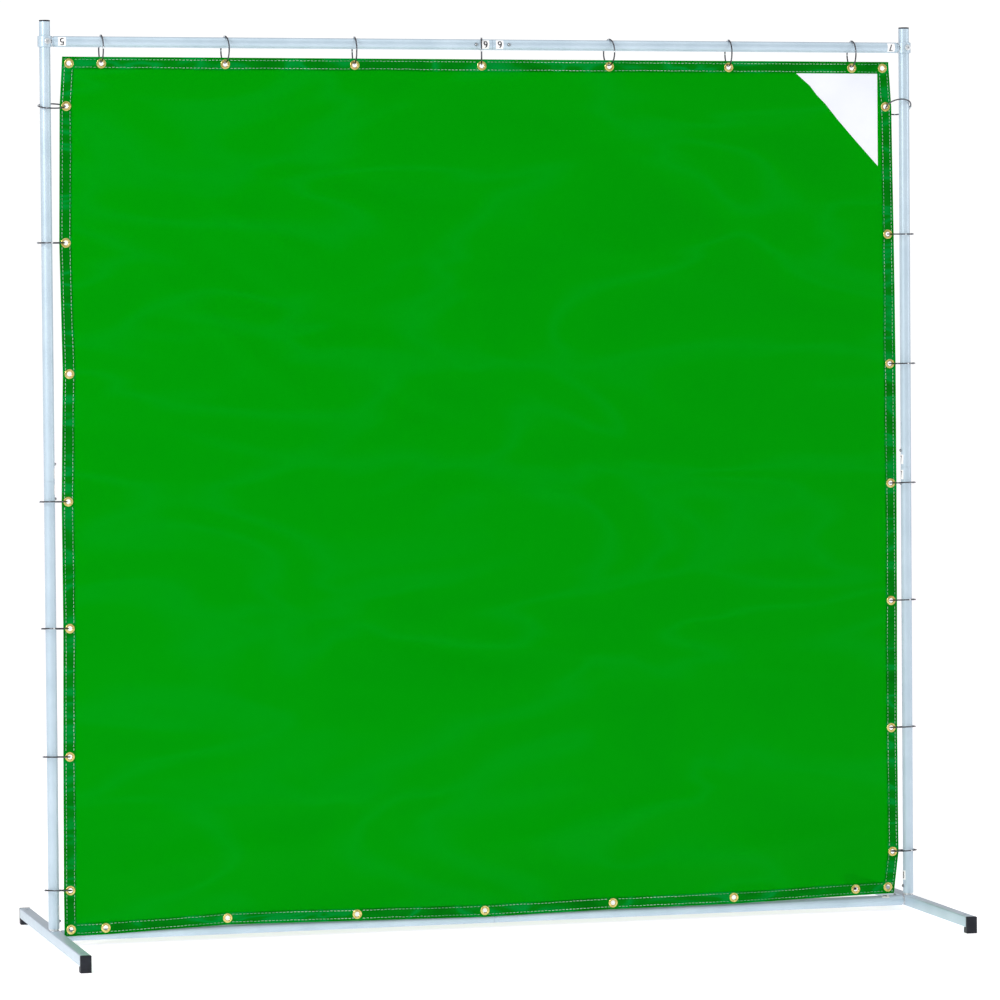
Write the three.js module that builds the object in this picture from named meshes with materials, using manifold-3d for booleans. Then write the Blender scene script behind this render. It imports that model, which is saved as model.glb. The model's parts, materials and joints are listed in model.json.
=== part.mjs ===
// A free-standing welding curtain screen: a hemmed curtain hung on wire rings in a frame of round tube
// that stands on two feet. Millimetres, X across the screen, -Y its front, +Z up, origin on the floor
// under the middle of the screen.
import * as THREE from "three";
import { mergeVertices } from "three/addons/utils/BufferGeometryUtils.js";
import Module from "manifold-3d";

const wasm = await Module();
wasm.setup();

// Overall sizes
const UPRIGHT_SPACING = 1828.8; // between the centre lines of the uprights
const RAIL_SPACING = 1804; // between the centre lines of the bottom bar and the top bar
const FOOT_LENGTH = 762; // over the end caps

// Round frame tube
const TUBE_D = 22.2;
const TUBE_WALL = 1.2;
const LOWER_UPRIGHT_LENGTH = 904;
const UPRIGHT_OVERRUN = 40; // from the top bar's centre line to the end of the upright tube
const TOP_JOINT_X = 14; // the two halves of each bar differ a little in length
const BOTTOM_JOINT_X = 4;
const WELD_GAP = 4; // a tube stops this far from the part that its stub is welded to

// Inner sleeves: the couplers and the stubs
const FIT_GAP = 0.3; // between a sleeve and the tube round it, on the radius
const SLEEVE_WALL = 1.5;
const COUPLER_LENGTH = 120;
const STUB_LENGTH = 64;
const WELD_LEG = 1.2;

// Snap buttons
const BUTTON_D = 6;
const BUTTON_HOLE_GAP = 0.3;
const BUTTON_PROUD = 3.5;
const BUTTON_DOME = 1.5; // height of its rounded end
const LEAF_WIDTH = 8;
const LEAF_LENGTH = 30;
const LEAF_THICKNESS = 0.8;
const JOINT_BUTTON_INSET = 35; // from the end of a tube at a middle joint
const STUB_BUTTON_INSET = 15; // from the end of a tube at a stub

// Feet
const FOOT_TUBE = 22.2;
const FOOT_WALL = 1.5;
const FOOT_HOLE_D = 8;
const FOOT_HOLE_INSET = 40;
const GLIDE_HEIGHT = 12; // the caps hold the foot tube this far off the floor
const GLIDE_DEPTH = 20;
const CAP_FLANGE = 8;
const CAP_PLUG_LENGTH = 16;

// Upright top caps
const TOP_CAP_HEAD = 3;
const TOP_CAP_PLUG = 14;
const TOP_CAP_BEVEL = 1;

// Collars and their clamp screws
const COLLAR_WALL = 3.1;
const COLLAR_HEIGHT = 22;
const COLLAR_TO_BAR = 3; // from the sleeve to the end of the top bar
const COLLAR_ARM_SOLID = 4; // its arm is hollow past this distance from the sleeve
const SCREW_D = 6;
const SCREW_HEAD_D = 13;
const SCREW_HEAD_HEIGHT = 5;
const SCREW_HEAD_BEVEL = 2;
const SCREW_SOCKET_D = 5; // across the corners of its six sides
const SCREW_SOCKET_DEPTH = 2.5;
const SCREW_TURN_DEG = 9; // the screws face a little to the right of straight ahead

// Hanging rings
const RING_ID = 50.8;
const RING_WIRE = 3;
const RING_TO_BAR = 0.3;
const RING_TO_UPRIGHT = 0.5;
const TOP_RING_TURNS = [0, 7, -3, -15, 9, -2, 1]; // degrees about the vertical
const LEFT_RING_TILTS = [12, 0, 0, -3, -5, -5, -6]; // degrees from level, about the line through the grommet
const RIGHT_RING_TILTS = [-35, 1, -1, -3, -4, -5, -5];
const LEFT_RING_MISSING = 2; // the third grommet of the left side holds no ring
const SIDE_RING_MOST_SLACK = 0.45; // past this the wire sits off the outer rim of its grommet

// Curtain
const CURTAIN_THICKNESS = 1.2;
const CURTAIN_TO_BAR = 1.5; // the bottom hem hangs in front of the bottom bar
const GROMMET_HOLE_D = 9.5;
const GROMMET_INSET = 13.5; // from a grommet's centre to the edge of the hem
const GROMMET_PLAY = 0.8; // between a ring's wire and the rim of its hole
const FIRST_GROMMET = 75; // from a corner grommet to the next
const BOTTOM_RIGHT_LIFT = 17; // the right bottom corner hangs higher than the left
// The grommets were set by hand. Slip is how far each sits past its even place along its side, from left
// to right or from the top down, and out is how far it sits outside its side's line. Slack is 0 where a
// side ring is taut between its grommet and its upright, and 1 where it would be centred on the upright.
const TOP_SLIPS = [-9, -18, -12, -7, 3, -1, 7];
const BOTTOM_SLIPS = [-4, -19, -14, -9, 1, -1, 3];
const BOTTOM_OUTS = [0, -7, -1, 5, 3, 5, 1];
const LEFT_SLIPS = [11, 20, 18, 9, -1, -8, -4];
const LEFT_SLACKS = [0.07, 0.36, 0.07, 0.45, 0.43, 0.65, 0.8];
const RIGHT_SLIPS = [6, 11, 21, 10, -5, 1, 0];
const RIGHT_SLACKS = [0.07, 0.29, 0.44, 0.43, 0.36, 0.22, 0.29];
// From the curtain's edge to the upright beside each top corner, and to the foot beside each bottom corner
const CORNER_GAPS = { topLeft: 23.85, topRight: 23.85, bottomLeft: 7.85, bottomRight: 25.85 };

// Corner patch: a triangle inside the hem's top right corner
const HEM_WIDTH = 25;
const PATCH_WIDTH = 180;
const PATCH_HEIGHT = 194;
const PATCH_THICKNESS = 0.4;
const PATCH_GAP = 0.3;

// Facets
const TUBE_SEGMENTS = 24;
const HOLE_SEGMENTS = 12;
const RING_SEGMENTS = 24;
const WIRE_SEGMENTS = 6;
const SOCKET_SIDES = 6;
const OVERLAP = 0.5; // by which pieces of one solid run into each other before they are joined
const CUT_MARGIN = 1; // by which a cutter runs past the piece it cuts

// Sizes that follow
const tubeR = TUBE_D / 2;
const sleeveR = tubeR - TUBE_WALL - FIT_GAP;
const sleeveBoreR = sleeveR - SLEEVE_WALL;
const buttonHoleR = BUTTON_D / 2 + BUTTON_HOLE_GAP;
const halfSpacing = UPRIGHT_SPACING / 2;
const footBottom = GLIDE_HEIGHT;
const footTop = footBottom + FOOT_TUBE;
const bottomBarZ = footBottom + FOOT_TUBE / 2;
const topBarZ = bottomBarZ + RAIL_SPACING;
const uprightBottom = footTop + WELD_GAP;
const uprightJointZ = uprightBottom + LOWER_UPRIGHT_LENGTH;
const uprightTop = topBarZ + UPRIGHT_OVERRUN;
const bottomBarEnd = halfSpacing - FOOT_TUBE / 2 - WELD_GAP;
const collarBoreR = tubeR + FIT_GAP;
const collarR = collarBoreR + COLLAR_WALL;
const topBarEnd = halfSpacing - collarR - COLLAR_TO_BAR;
const ringBoreR = RING_ID / 2;
const ringR = ringBoreR + RING_WIRE / 2;
const holeR = GROMMET_HOLE_D / 2;
const wireOffset = holeR - RING_WIRE / 2 - GROMMET_PLAY; // from a hole's centre to the wire in it, at most
const ringPlay = ringBoreR - tubeR - RING_TO_UPRIGHT; // most that a ring's centre can be off its upright's
const topRingZ = topBarZ + tubeR + RING_TO_BAR - ringBoreR;
const topHoleZ = topRingZ - ringR - wireOffset;
const sideHoleLine = halfSpacing - ringPlay - ringR - wireOffset;
const curtainDrop = topHoleZ - bottomBarZ - GROMMET_INSET; // the hem ends level with the bar at the left
const curtainSlant = Math.asin((tubeR + CURTAIN_TO_BAR + CURTAIN_THICKNESS / 2) / curtainDrop);

const X = new THREE.Vector3(1, 0, 0);
const Y = new THREE.Vector3(0, 1, 0);
const Z = new THREE.Vector3(0, 0, 1);
const vector = (x, y, z) => new THREE.Vector3(x, y, z);
const reversed = (v) => v.clone().negate();

function coat(color, roughness, metalness) {
  return new THREE.MeshStandardMaterial({ color, roughness, metalness });
}

const tubeCoat = () => coat(0xc4d4de, 0.38, 0.35);
const zinc = () => coat(0xb9c0c4, 0.35, 0.85);
const blackPlastic = () => coat(0x1d1f24, 0.55, 0);
const ringSteel = () => coat(0x8d9094, 0.25, 0.95);
const vinyl = () => coat(0x00961a, 0.35, 0);
const patchVinyl = () => coat(0xf2f3f5, 0.5, 0);

// A three.js geometry as a manifold-3d solid, and back.
function toSolid(geometry) {
  const bare = new THREE.BufferGeometry().setAttribute("position", geometry.getAttribute("position"));
  bare.setIndex(geometry.index);
  const merged = mergeVertices(bare, 1e-4);
  return new wasm.Manifold(
    new wasm.Mesh({
      numProp: 3,
      vertProperties: merged.attributes.position.array,
      triVerts: new Uint32Array(merged.index.array),
    }),
  );
}

function toGeometry(solid) {
  const { vertProperties, triVerts } = solid.getMesh();
  const geometry = new THREE.BufferGeometry();
  geometry.setAttribute("position", new THREE.BufferAttribute(vertProperties, 3));
  geometry.setIndex(new THREE.BufferAttribute(triVerts, 1));
  geometry.computeVertexNormals();
  return geometry;
}

function join(...geometries) {
  return toGeometry(geometries.map(toSolid).reduce((a, b) => a.add(b)));
}

function cut(geometry, ...tools) {
  return toGeometry(tools.map(toSolid).reduce((a, b) => a.subtract(b), toSolid(geometry)));
}

// The rotation that takes Z to axis and X to side, which are at right angles.
function basis(axis, side) {
  return new THREE.Matrix4().makeBasis(side, axis.clone().cross(side), axis);
}

function moved(geometry, position, axis = Z, side = X) {
  return geometry.applyMatrix4(basis(axis, side).setPosition(position));
}

// A piece in the scene, its own +Z along axis and +X along side.
function piece(parent, name, geometry, material, position = vector(0, 0, 0), axis = Z, side = X) {
  const mesh = new THREE.Mesh(geometry, material);
  mesh.name = name;
  mesh.position.copy(position);
  mesh.quaternion.setFromRotationMatrix(basis(axis, side));
  parent.add(mesh);
  return mesh;
}

// A solid of revolution about Z through the points [radius, height], listed so that it faces out.
function turned(points, segments = TUBE_SEGMENTS) {
  const profile = points.map(([radius, height]) => new THREE.Vector2(radius, height));
  return new THREE.LatheGeometry(profile, segments).rotateX(Math.PI / 2);
}

const rod = (radius, length, segments = TUBE_SEGMENTS) =>
  turned([[0, 0], [radius, 0], [radius, length], [0, length]], segments);

const pipe = (radius, wall, length) =>
  turned([[radius - wall, 0], [radius, 0], [radius, length], [radius - wall, length], [radius - wall, 0]]);

const block = (width, depth, height) => new THREE.BoxGeometry(width, depth, height);

// Holes for snap buttons through the +X wall of a tube along Z.
function drilled(tube, heights) {
  const bits = heights.map((z) => moved(rod(buttonHoleR, TUBE_D, HOLE_SEGMENTS), vector(0, 0, z), X, Y));
  return cut(tube, ...bits);
}

const frameTube = (length, buttonHeights) => drilled(pipe(tubeR, TUBE_WALL, length), buttonHeights);

const coupler = () =>
  drilled(pipe(sleeveR, SLEEVE_WALL, COUPLER_LENGTH), [
    COUPLER_LENGTH / 2 - JOINT_BUTTON_INSET,
    COUPLER_LENGTH / 2 + JOINT_BUTTON_INSET,
  ]);

// A stub along Z with its weld round its foot at height 0; it runs a little below that, into its parent.
const stub = () =>
  turned([
    [sleeveBoreR, -OVERLAP],
    [sleeveR + WELD_LEG, -OVERLAP],
    [sleeveR + WELD_LEG, 0],
    [sleeveR, WELD_LEG],
    [sleeveR, STUB_LENGTH],
    [sleeveBoreR, STUB_LENGTH],
    [sleeveBoreR, -OVERLAP],
  ]);

// A snap button along Z, its height counted from the centre line of its tube, on a leaf along X.
function snapButton() {
  const leafTop = Math.sqrt(sleeveBoreR ** 2 - (LEAF_WIDTH / 2) ** 2) - FIT_GAP;
  const leafMiddle = vector(0, 0, leafTop - LEAF_THICKNESS / 2);
  const top = tubeR + BUTTON_PROUD;
  const pin = turned(
    [
      [0, leafMiddle.z],
      [BUTTON_D / 2, leafMiddle.z],
      [BUTTON_D / 2, top - BUTTON_DOME],
      [(BUTTON_D / 2) * Math.SQRT1_2, top - BUTTON_DOME * (1 - Math.SQRT1_2)],
      [0, top],
    ],
    HOLE_SEGMENTS,
  );
  const leaf = moved(block(LEAF_LENGTH, LEAF_WIDTH, LEAF_THICKNESS), leafMiddle);
  return join(pin, leaf);
}

// The buttons of a middle joint: along is the direction of the tubes and side where the buttons face.
function jointButtons(parent, names, joint, along, side) {
  names.forEach((name, i) => {
    const step = i === 0 ? -JOINT_BUTTON_INSET : JOINT_BUTTON_INSET;
    piece(parent, name, snapButton(), zinc(), joint.clone().addScaledVector(along, step), side, along);
  });
}

// A foot along Y with its stubs: up for the upright, and along inward for the bottom bar.
function foot(inward) {
  const tubeLength = FOOT_LENGTH - 2 * CAP_FLANGE;
  const tube = moved(block(FOOT_TUBE, tubeLength, FOOT_TUBE), vector(0, 0, bottomBarZ));
  const bore = moved(
    block(FOOT_TUBE - 2 * FOOT_WALL, tubeLength + 2 * CUT_MARGIN, FOOT_TUBE - 2 * FOOT_WALL),
    vector(0, 0, bottomBarZ),
  );
  const holes = [-1, 1].map((end) =>
    moved(
      rod(FOOT_HOLE_D / 2, FOOT_TUBE + 2 * CUT_MARGIN, HOLE_SEGMENTS),
      vector(0, end * (FOOT_LENGTH / 2 - FOOT_HOLE_INSET), footBottom - CUT_MARGIN),
    ),
  );
  const uprightStub = moved(stub(), vector(0, 0, footTop));
  const barStub = moved(stub(), vector((inward.x * FOOT_TUBE) / 2, 0, bottomBarZ), inward, Y);
  const buttonInset = WELD_GAP + STUB_BUTTON_INSET;
  const uprightButtonHole = moved(
    rod(buttonHoleR, TUBE_D, HOLE_SEGMENTS),
    vector(0, 0, footTop + buttonInset),
    inward,
    Y,
  );
  const barButtonHole = moved(
    rod(buttonHoleR, TUBE_D, HOLE_SEGMENTS),
    vector(inward.x * (FOOT_TUBE / 2 + buttonInset), 0, bottomBarZ),
  );
  return cut(join(cut(tube, bore), uprightStub, barStub), ...holes, uprightButtonHole, barButtonHole);
}

// An end cap for the end of a foot that faces outward: a flange down to the floor, a pad that runs back
// under the tube, and a plug inside it. Its origin is on the floor at the outer face.
function footCap() {
  const profile = new THREE.Shape();
  profile.moveTo(0, 0);
  profile.lineTo(GLIDE_DEPTH, 0);
  profile.lineTo(GLIDE_DEPTH, GLIDE_HEIGHT - FIT_GAP);
  profile.lineTo(CAP_FLANGE - FIT_GAP, GLIDE_HEIGHT - FIT_GAP);
  profile.lineTo(CAP_FLANGE - FIT_GAP, GLIDE_HEIGHT + FOOT_TUBE);
  profile.lineTo(0, GLIDE_HEIGHT + FOOT_TUBE);
  const shell = new THREE.ExtrudeGeometry(profile, { depth: FOOT_TUBE, bevelEnabled: false });
  moved(shell, vector(-FOOT_TUBE / 2, 0, 0), X, Y);
  const plugSide = FOOT_TUBE - 2 * FOOT_WALL - 2 * FIT_GAP;
  const plug = moved(
    block(plugSide, CAP_PLUG_LENGTH + OVERLAP, plugSide),
    vector(0, CAP_FLANGE + (CAP_PLUG_LENGTH - OVERLAP) / 2 - FIT_GAP, bottomBarZ),
  );
  return join(shell, plug);
}

function topCap() {
  const plugR = tubeR - TUBE_WALL - FIT_GAP;
  return turned([
    [0, -TOP_CAP_PLUG],
    [plugR, -TOP_CAP_PLUG],
    [plugR, FIT_GAP],
    [tubeR, FIT_GAP],
    [tubeR, TOP_CAP_HEAD - TOP_CAP_BEVEL],
    [tubeR - TOP_CAP_BEVEL, TOP_CAP_HEAD],
    [0, TOP_CAP_HEAD],
  ]);
}

// The direction that a clamp screw faces, seen from above.
const screwTurn = THREE.MathUtils.degToRad(SCREW_TURN_DEG);
const screwAxis = vector(Math.sin(screwTurn), -Math.cos(screwTurn), 0);
const screwSide = vector(Math.cos(screwTurn), Math.sin(screwTurn), 0);

// A collar on the upright's centre line, with its stub along inward.
function collar(inward) {
  const sleeve = moved(rod(collarR, COLLAR_HEIGHT), vector(0, 0, -COLLAR_HEIGHT / 2));
  const bore = moved(
    rod(collarBoreR, COLLAR_HEIGHT + 2 * CUT_MARGIN),
    vector(0, 0, -COLLAR_HEIGHT / 2 - CUT_MARGIN),
  );
  const arm = moved(rod(sleeveR, collarR + STUB_LENGTH), vector(0, 0, 0), inward, Y);
  const armBoreStart = inward.clone().multiplyScalar(collarR + COLLAR_ARM_SOLID);
  const armBore = moved(rod(sleeveBoreR, STUB_LENGTH), armBoreStart, inward, Y);
  const screwBit = rod(SCREW_D / 2 + FIT_GAP, TUBE_D, HOLE_SEGMENTS);
  const screwHole = moved(screwBit, vector(0, 0, 0), screwAxis, screwSide);
  return cut(join(sleeve, arm), bore, armBore, screwHole);
}

// A clamp screw along Z, counted from the upright's centre line: its tip meets the tube.
function clampScrew() {
  const head = collarR + FIT_GAP;
  const headTop = head + SCREW_HEAD_HEIGHT;
  const screw = turned([
    [0, tubeR + FIT_GAP],
    [SCREW_D / 2, tubeR + FIT_GAP],
    [SCREW_D / 2, head],
    [SCREW_HEAD_D / 2, head],
    [SCREW_HEAD_D / 2, headTop - SCREW_HEAD_BEVEL],
    [SCREW_HEAD_D / 2 - SCREW_HEAD_BEVEL, headTop],
    [0, headTop],
  ]);
  const socket = moved(
    rod(SCREW_SOCKET_D / 2, SCREW_SOCKET_DEPTH + CUT_MARGIN, SOCKET_SIDES),
    vector(0, 0, headTop - SCREW_SOCKET_DEPTH),
  );
  return cut(screw, socket);
}

// Grommets in the curtain's own plane: u across from the middle, v up from the top row.
function evenPlaces(from, to, slips) {
  const length = from.distanceTo(to);
  const along = to.clone().sub(from).normalize();
  const pitch = (length - 2 * FIRST_GROMMET) / (slips.length - 1);
  return slips.map((slip, i) => from.clone().addScaledVector(along, FIRST_GROMMET + i * pitch + slip));
}

function sideGrommets(from, to, slips, slacks, sign) {
  const places = evenPlaces(from, to, slips);
  return places.map(({ y }, i) => new THREE.Vector2(sign * (sideHoleLine + slacks[i] * ringPlay), y));
}

function bottomGrommets(from, to) {
  const places = evenPlaces(from, to, BOTTOM_SLIPS);
  return places.map(({ x, y }, i) => new THREE.Vector2(x, y - BOTTOM_OUTS[i]));
}

const topCorner = halfSpacing - tubeR - GROMMET_INSET;
const bottomCorner = halfSpacing - FOOT_TUBE / 2 - GROMMET_INSET;
const corners = {
  topLeft: new THREE.Vector2(CORNER_GAPS.topLeft - topCorner, 0),
  topRight: new THREE.Vector2(topCorner - CORNER_GAPS.topRight, 0),
  bottomLeft: new THREE.Vector2(CORNER_GAPS.bottomLeft - bottomCorner, -curtainDrop),
  bottomRight: new THREE.Vector2(bottomCorner - CORNER_GAPS.bottomRight, -curtainDrop + BOTTOM_RIGHT_LIFT),
};
const grommets = {
  top: evenPlaces(corners.topLeft, corners.topRight, TOP_SLIPS),
  right: sideGrommets(corners.topRight, corners.bottomRight, RIGHT_SLIPS, RIGHT_SLACKS, 1),
  bottom: bottomGrommets(corners.bottomLeft, corners.bottomRight),
  left: sideGrommets(corners.topLeft, corners.bottomLeft, LEFT_SLIPS, LEFT_SLACKS, -1),
};

// The hem's edge stays one inset outside every grommet.
function curtainOutline() {
  const edge = ({ x, y }, across, up) =>
    new THREE.Vector2(x + across * GROMMET_INSET, y + up * GROMMET_INSET);
  return [
    edge(corners.bottomLeft, -1, -1),
    ...grommets.bottom.map((place) => edge(place, 0, -1)),
    edge(corners.bottomRight, 1, -1),
    ...grommets.right.map((place) => edge(place, 1, 0)).reverse(),
    edge(corners.topRight, 1, 1),
    ...grommets.top.map((place) => edge(place, 0, 1)).reverse(),
    edge(corners.topLeft, -1, 1),
    ...grommets.left.map((place) => edge(place, -1, 0)),
  ];
}

function curtain() {
  const shape = new THREE.Shape(curtainOutline());
  for (const { x, y } of [...Object.values(corners), ...Object.values(grommets).flat()]) {
    const rim = Array.from({ length: HOLE_SEGMENTS }, (_, i) => {
      const angle = (-i / HOLE_SEGMENTS) * 2 * Math.PI;
      return new THREE.Vector2(x + holeR * Math.cos(angle), y + holeR * Math.sin(angle));
    });
    shape.holes.push(new THREE.Path(rim));
  }
  const sheet = new THREE.ExtrudeGeometry(shape, { depth: CURTAIN_THICKNESS, bevelEnabled: false });
  return sheet.translate(0, 0, -CURTAIN_THICKNESS / 2);
}

function cornerPatch() {
  const right = corners.topRight.x + GROMMET_INSET - HEM_WIDTH;
  const top = GROMMET_INSET - HEM_WIDTH;
  const shape = new THREE.Shape([
    new THREE.Vector2(right - PATCH_WIDTH, top),
    new THREE.Vector2(right, top - PATCH_HEIGHT),
    new THREE.Vector2(right, top),
  ]);
  const patch = new THREE.ExtrudeGeometry(shape, { depth: PATCH_THICKNESS, bevelEnabled: false });
  return patch.translate(0, 0, CURTAIN_THICKNESS / 2 + PATCH_GAP);
}

// A ring whose plane holds span, the direction from its grommet to its centre.
function ring(parent, name, centre, span, normal) {
  const wire = new THREE.TorusGeometry(ringR, RING_WIRE / 2, WIRE_SEGMENTS, RING_SEGMENTS);
  piece(parent, name, wire, ringSteel(), centre, normal, span);
}

function topRings(parent) {
  grommets.top.forEach(({ x }, i) => {
    const turn = THREE.MathUtils.degToRad(TOP_RING_TURNS[i]);
    ring(parent, `top_ring_${i + 1}`, vector(x, 0, topRingZ), Z, vector(Math.cos(turn), Math.sin(turn), 0));
  });
}

// The rings of one upright, each pulled straight between its grommet and the upright. sign is -1 at the left
// and 1 at the right.
function sideRings(parent, name, places, slacks, tilts, sign, missing) {
  places.forEach(({ x, y }, i) => {
    if (i === missing) return;
    const inset = ringPlay * (1 - Math.min(slacks[i], SIDE_RING_MOST_SLACK));
    const across = Math.min(halfSpacing - Math.abs(x) + wireOffset, inset + ringR);
    const height = topHoleZ + y * Math.cos(curtainSlant);
    const wire = vector(sign * (halfSpacing - across), y * Math.sin(curtainSlant), height);
    const outward = vector(sign * halfSpacing, 0, height).sub(wire).normalize();
    const centre = wire.clone().addScaledVector(outward, ringR);
    const tiltAxis = outward.clone().multiplyScalar(sign);
    const normal = Z.clone().applyAxisAngle(tiltAxis, THREE.MathUtils.degToRad(tilts[i]));
    ring(parent, `${name}_ring_${i + 1}`, centre, outward, normal);
  });
}

function buildFoot(parent, side, inward) {
  const x = -inward.x * halfSpacing;
  piece(parent, `${side}_foot`, foot(inward), tubeCoat(), vector(x, 0, 0));
  const ends = { front: -1, back: 1 };
  for (const [end, sign] of Object.entries(ends)) {
    const face = vector(x, (sign * FOOT_LENGTH) / 2, 0);
    const turn = sign < 0 ? X : reversed(X);
    piece(parent, `${side}_${end}_foot_cap`, footCap(), blackPlastic(), face, Z, turn);
  }
}

function buildUpright(parent, side, inward) {
  const x = -inward.x * halfSpacing;
  const joint = vector(x, 0, uprightJointZ);
  const lower = frameTube(LOWER_UPRIGHT_LENGTH - FIT_GAP / 2, [
    STUB_BUTTON_INSET,
    LOWER_UPRIGHT_LENGTH - JOINT_BUTTON_INSET,
  ]);
  piece(parent, `${side}_lower_upright`, lower, tubeCoat(), vector(x, 0, uprightBottom), Z, inward);
  const upper = frameTube(uprightTop - uprightJointZ - FIT_GAP / 2, [JOINT_BUTTON_INSET - FIT_GAP / 2]);
  const upperFoot = vector(x, 0, uprightJointZ + FIT_GAP / 2);
  piece(parent, `${side}_upper_upright`, upper, tubeCoat(), upperFoot, Z, inward);
  const couplerFoot = vector(x, 0, uprightJointZ - COUPLER_LENGTH / 2);
  piece(parent, `${side}_upright_coupler`, coupler(), zinc(), couplerFoot, Z, inward);
  piece(parent, `${side}_upright_cap`, topCap(), blackPlastic(), vector(x, 0, uprightTop));
  jointButtons(parent, [`${side}_upright_lower_button`, `${side}_upright_upper_button`], joint, Z, inward);
  const footButton = vector(x, 0, uprightBottom + STUB_BUTTON_INSET);
  piece(parent, `${side}_upright_foot_button`, snapButton(), zinc(), footButton, inward, Z);
}

// The two halves of a bar, butted over a coupler at jointX. side is where the buttons face.
function buildBar(parent, name, end, jointX, z, side, endButtons) {
  const joint = vector(jointX, 0, z);
  const halves = { left: X, right: reversed(X) };
  for (const [half, towardJoint] of Object.entries(halves)) {
    const start = -towardJoint.x * end;
    const length = Math.abs(jointX - start) - FIT_GAP / 2;
    const holes = [length - JOINT_BUTTON_INSET + FIT_GAP / 2];
    if (endButtons) holes.push(STUB_BUTTON_INSET);
    const tube = frameTube(length, holes);
    piece(parent, `${name}_${half}`, tube, tubeCoat(), vector(start, 0, z), towardJoint, side);
    if (endButtons) {
      const place = vector(start + towardJoint.x * STUB_BUTTON_INSET, 0, z);
      piece(parent, `${name}_${half}_end_button`, snapButton(), zinc(), place, side, X);
    }
  }
  const couplerStart = vector(jointX - COUPLER_LENGTH / 2, 0, z);
  piece(parent, `${name}_coupler`, coupler(), zinc(), couplerStart, X, side);
  jointButtons(parent, [`${name}_left_button`, `${name}_right_button`], joint, X, side);
}

function buildCollar(parent, side, inward) {
  const centre = vector(-inward.x * halfSpacing, 0, topBarZ);
  piece(parent, `${side}_collar`, collar(inward), tubeCoat(), centre);
  piece(parent, `${side}_clamp_screw`, clampScrew(), zinc(), centre, screwAxis, screwSide);
}

function buildCurtain(parent) {
  const hanging = new THREE.Group();
  hanging.position.z = topHoleZ;
  hanging.rotation.x = Math.PI / 2 - curtainSlant;
  parent.add(hanging);
  piece(hanging, "curtain", curtain(), vinyl());
  piece(hanging, "corner_patch", cornerPatch(), patchVinyl());
}

const screen = new THREE.Group();
const frame = new THREE.Group();
const topRail = new THREE.Group();
screen.add(frame, topRail);

for (const [side, inward] of [["left", X], ["right", reversed(X)]]) {
  buildFoot(frame, side, inward);
  buildUpright(frame, side, inward);
  buildCollar(topRail, side, inward);
}
buildBar(frame, "bottom_bar", bottomBarEnd, BOTTOM_JOINT_X, bottomBarZ, Z, true);
buildBar(topRail, "top_bar", topBarEnd, TOP_JOINT_X, topBarZ, reversed(Y), false);
buildCurtain(topRail);
topRings(topRail);
sideRings(topRail, "left", grommets.left, LEFT_SLACKS, LEFT_RING_TILTS, -1, LEFT_RING_MISSING);
sideRings(topRail, "right", grommets.right, RIGHT_SLACKS, RIGHT_RING_TILTS, 1);

export default screen;
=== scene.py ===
import json
import math

import bmesh
import bpy
import numpy as np
from mathutils import Matrix, Vector, noise
from mathutils.geometry import delaunay_2d_cdt


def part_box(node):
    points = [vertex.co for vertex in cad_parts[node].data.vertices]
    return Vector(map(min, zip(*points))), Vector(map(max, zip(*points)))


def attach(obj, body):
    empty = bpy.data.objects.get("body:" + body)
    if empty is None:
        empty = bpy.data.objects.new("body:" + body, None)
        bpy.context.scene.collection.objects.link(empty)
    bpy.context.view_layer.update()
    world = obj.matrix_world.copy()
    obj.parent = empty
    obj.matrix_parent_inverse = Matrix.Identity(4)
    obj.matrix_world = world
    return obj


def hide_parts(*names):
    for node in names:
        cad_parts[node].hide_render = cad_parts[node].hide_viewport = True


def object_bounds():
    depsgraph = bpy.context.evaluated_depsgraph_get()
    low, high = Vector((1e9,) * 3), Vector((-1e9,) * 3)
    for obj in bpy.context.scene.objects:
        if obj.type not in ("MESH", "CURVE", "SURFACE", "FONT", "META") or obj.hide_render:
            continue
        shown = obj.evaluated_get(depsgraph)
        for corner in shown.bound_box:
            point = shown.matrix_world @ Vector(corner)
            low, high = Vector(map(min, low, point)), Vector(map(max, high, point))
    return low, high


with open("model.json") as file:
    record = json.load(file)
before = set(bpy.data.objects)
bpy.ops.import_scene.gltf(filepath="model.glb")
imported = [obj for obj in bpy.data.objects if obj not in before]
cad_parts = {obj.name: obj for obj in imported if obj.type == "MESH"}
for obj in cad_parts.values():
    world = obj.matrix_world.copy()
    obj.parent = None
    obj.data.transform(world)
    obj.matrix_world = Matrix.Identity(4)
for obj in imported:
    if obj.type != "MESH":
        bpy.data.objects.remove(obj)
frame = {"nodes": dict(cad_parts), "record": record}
cad_low, cad_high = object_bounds()
record = frame["record"]
nodes = frame["nodes"]
scene = bpy.context.scene

MM = 0.001
X, Y, Z = Vector((1, 0, 0)), Vector((0, 1, 0)), Vector((0, 0, 1))
SIDES = {"left": X, "right": -X}  # the direction from each upright into the screen
BODY = {n: body for body, members in record["behaviour"]["bodies"].items() for n in members}


# ---------------- materials

GRAIN = 0.2 * MM  # how deep the bumps of a smooth surface are


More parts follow.
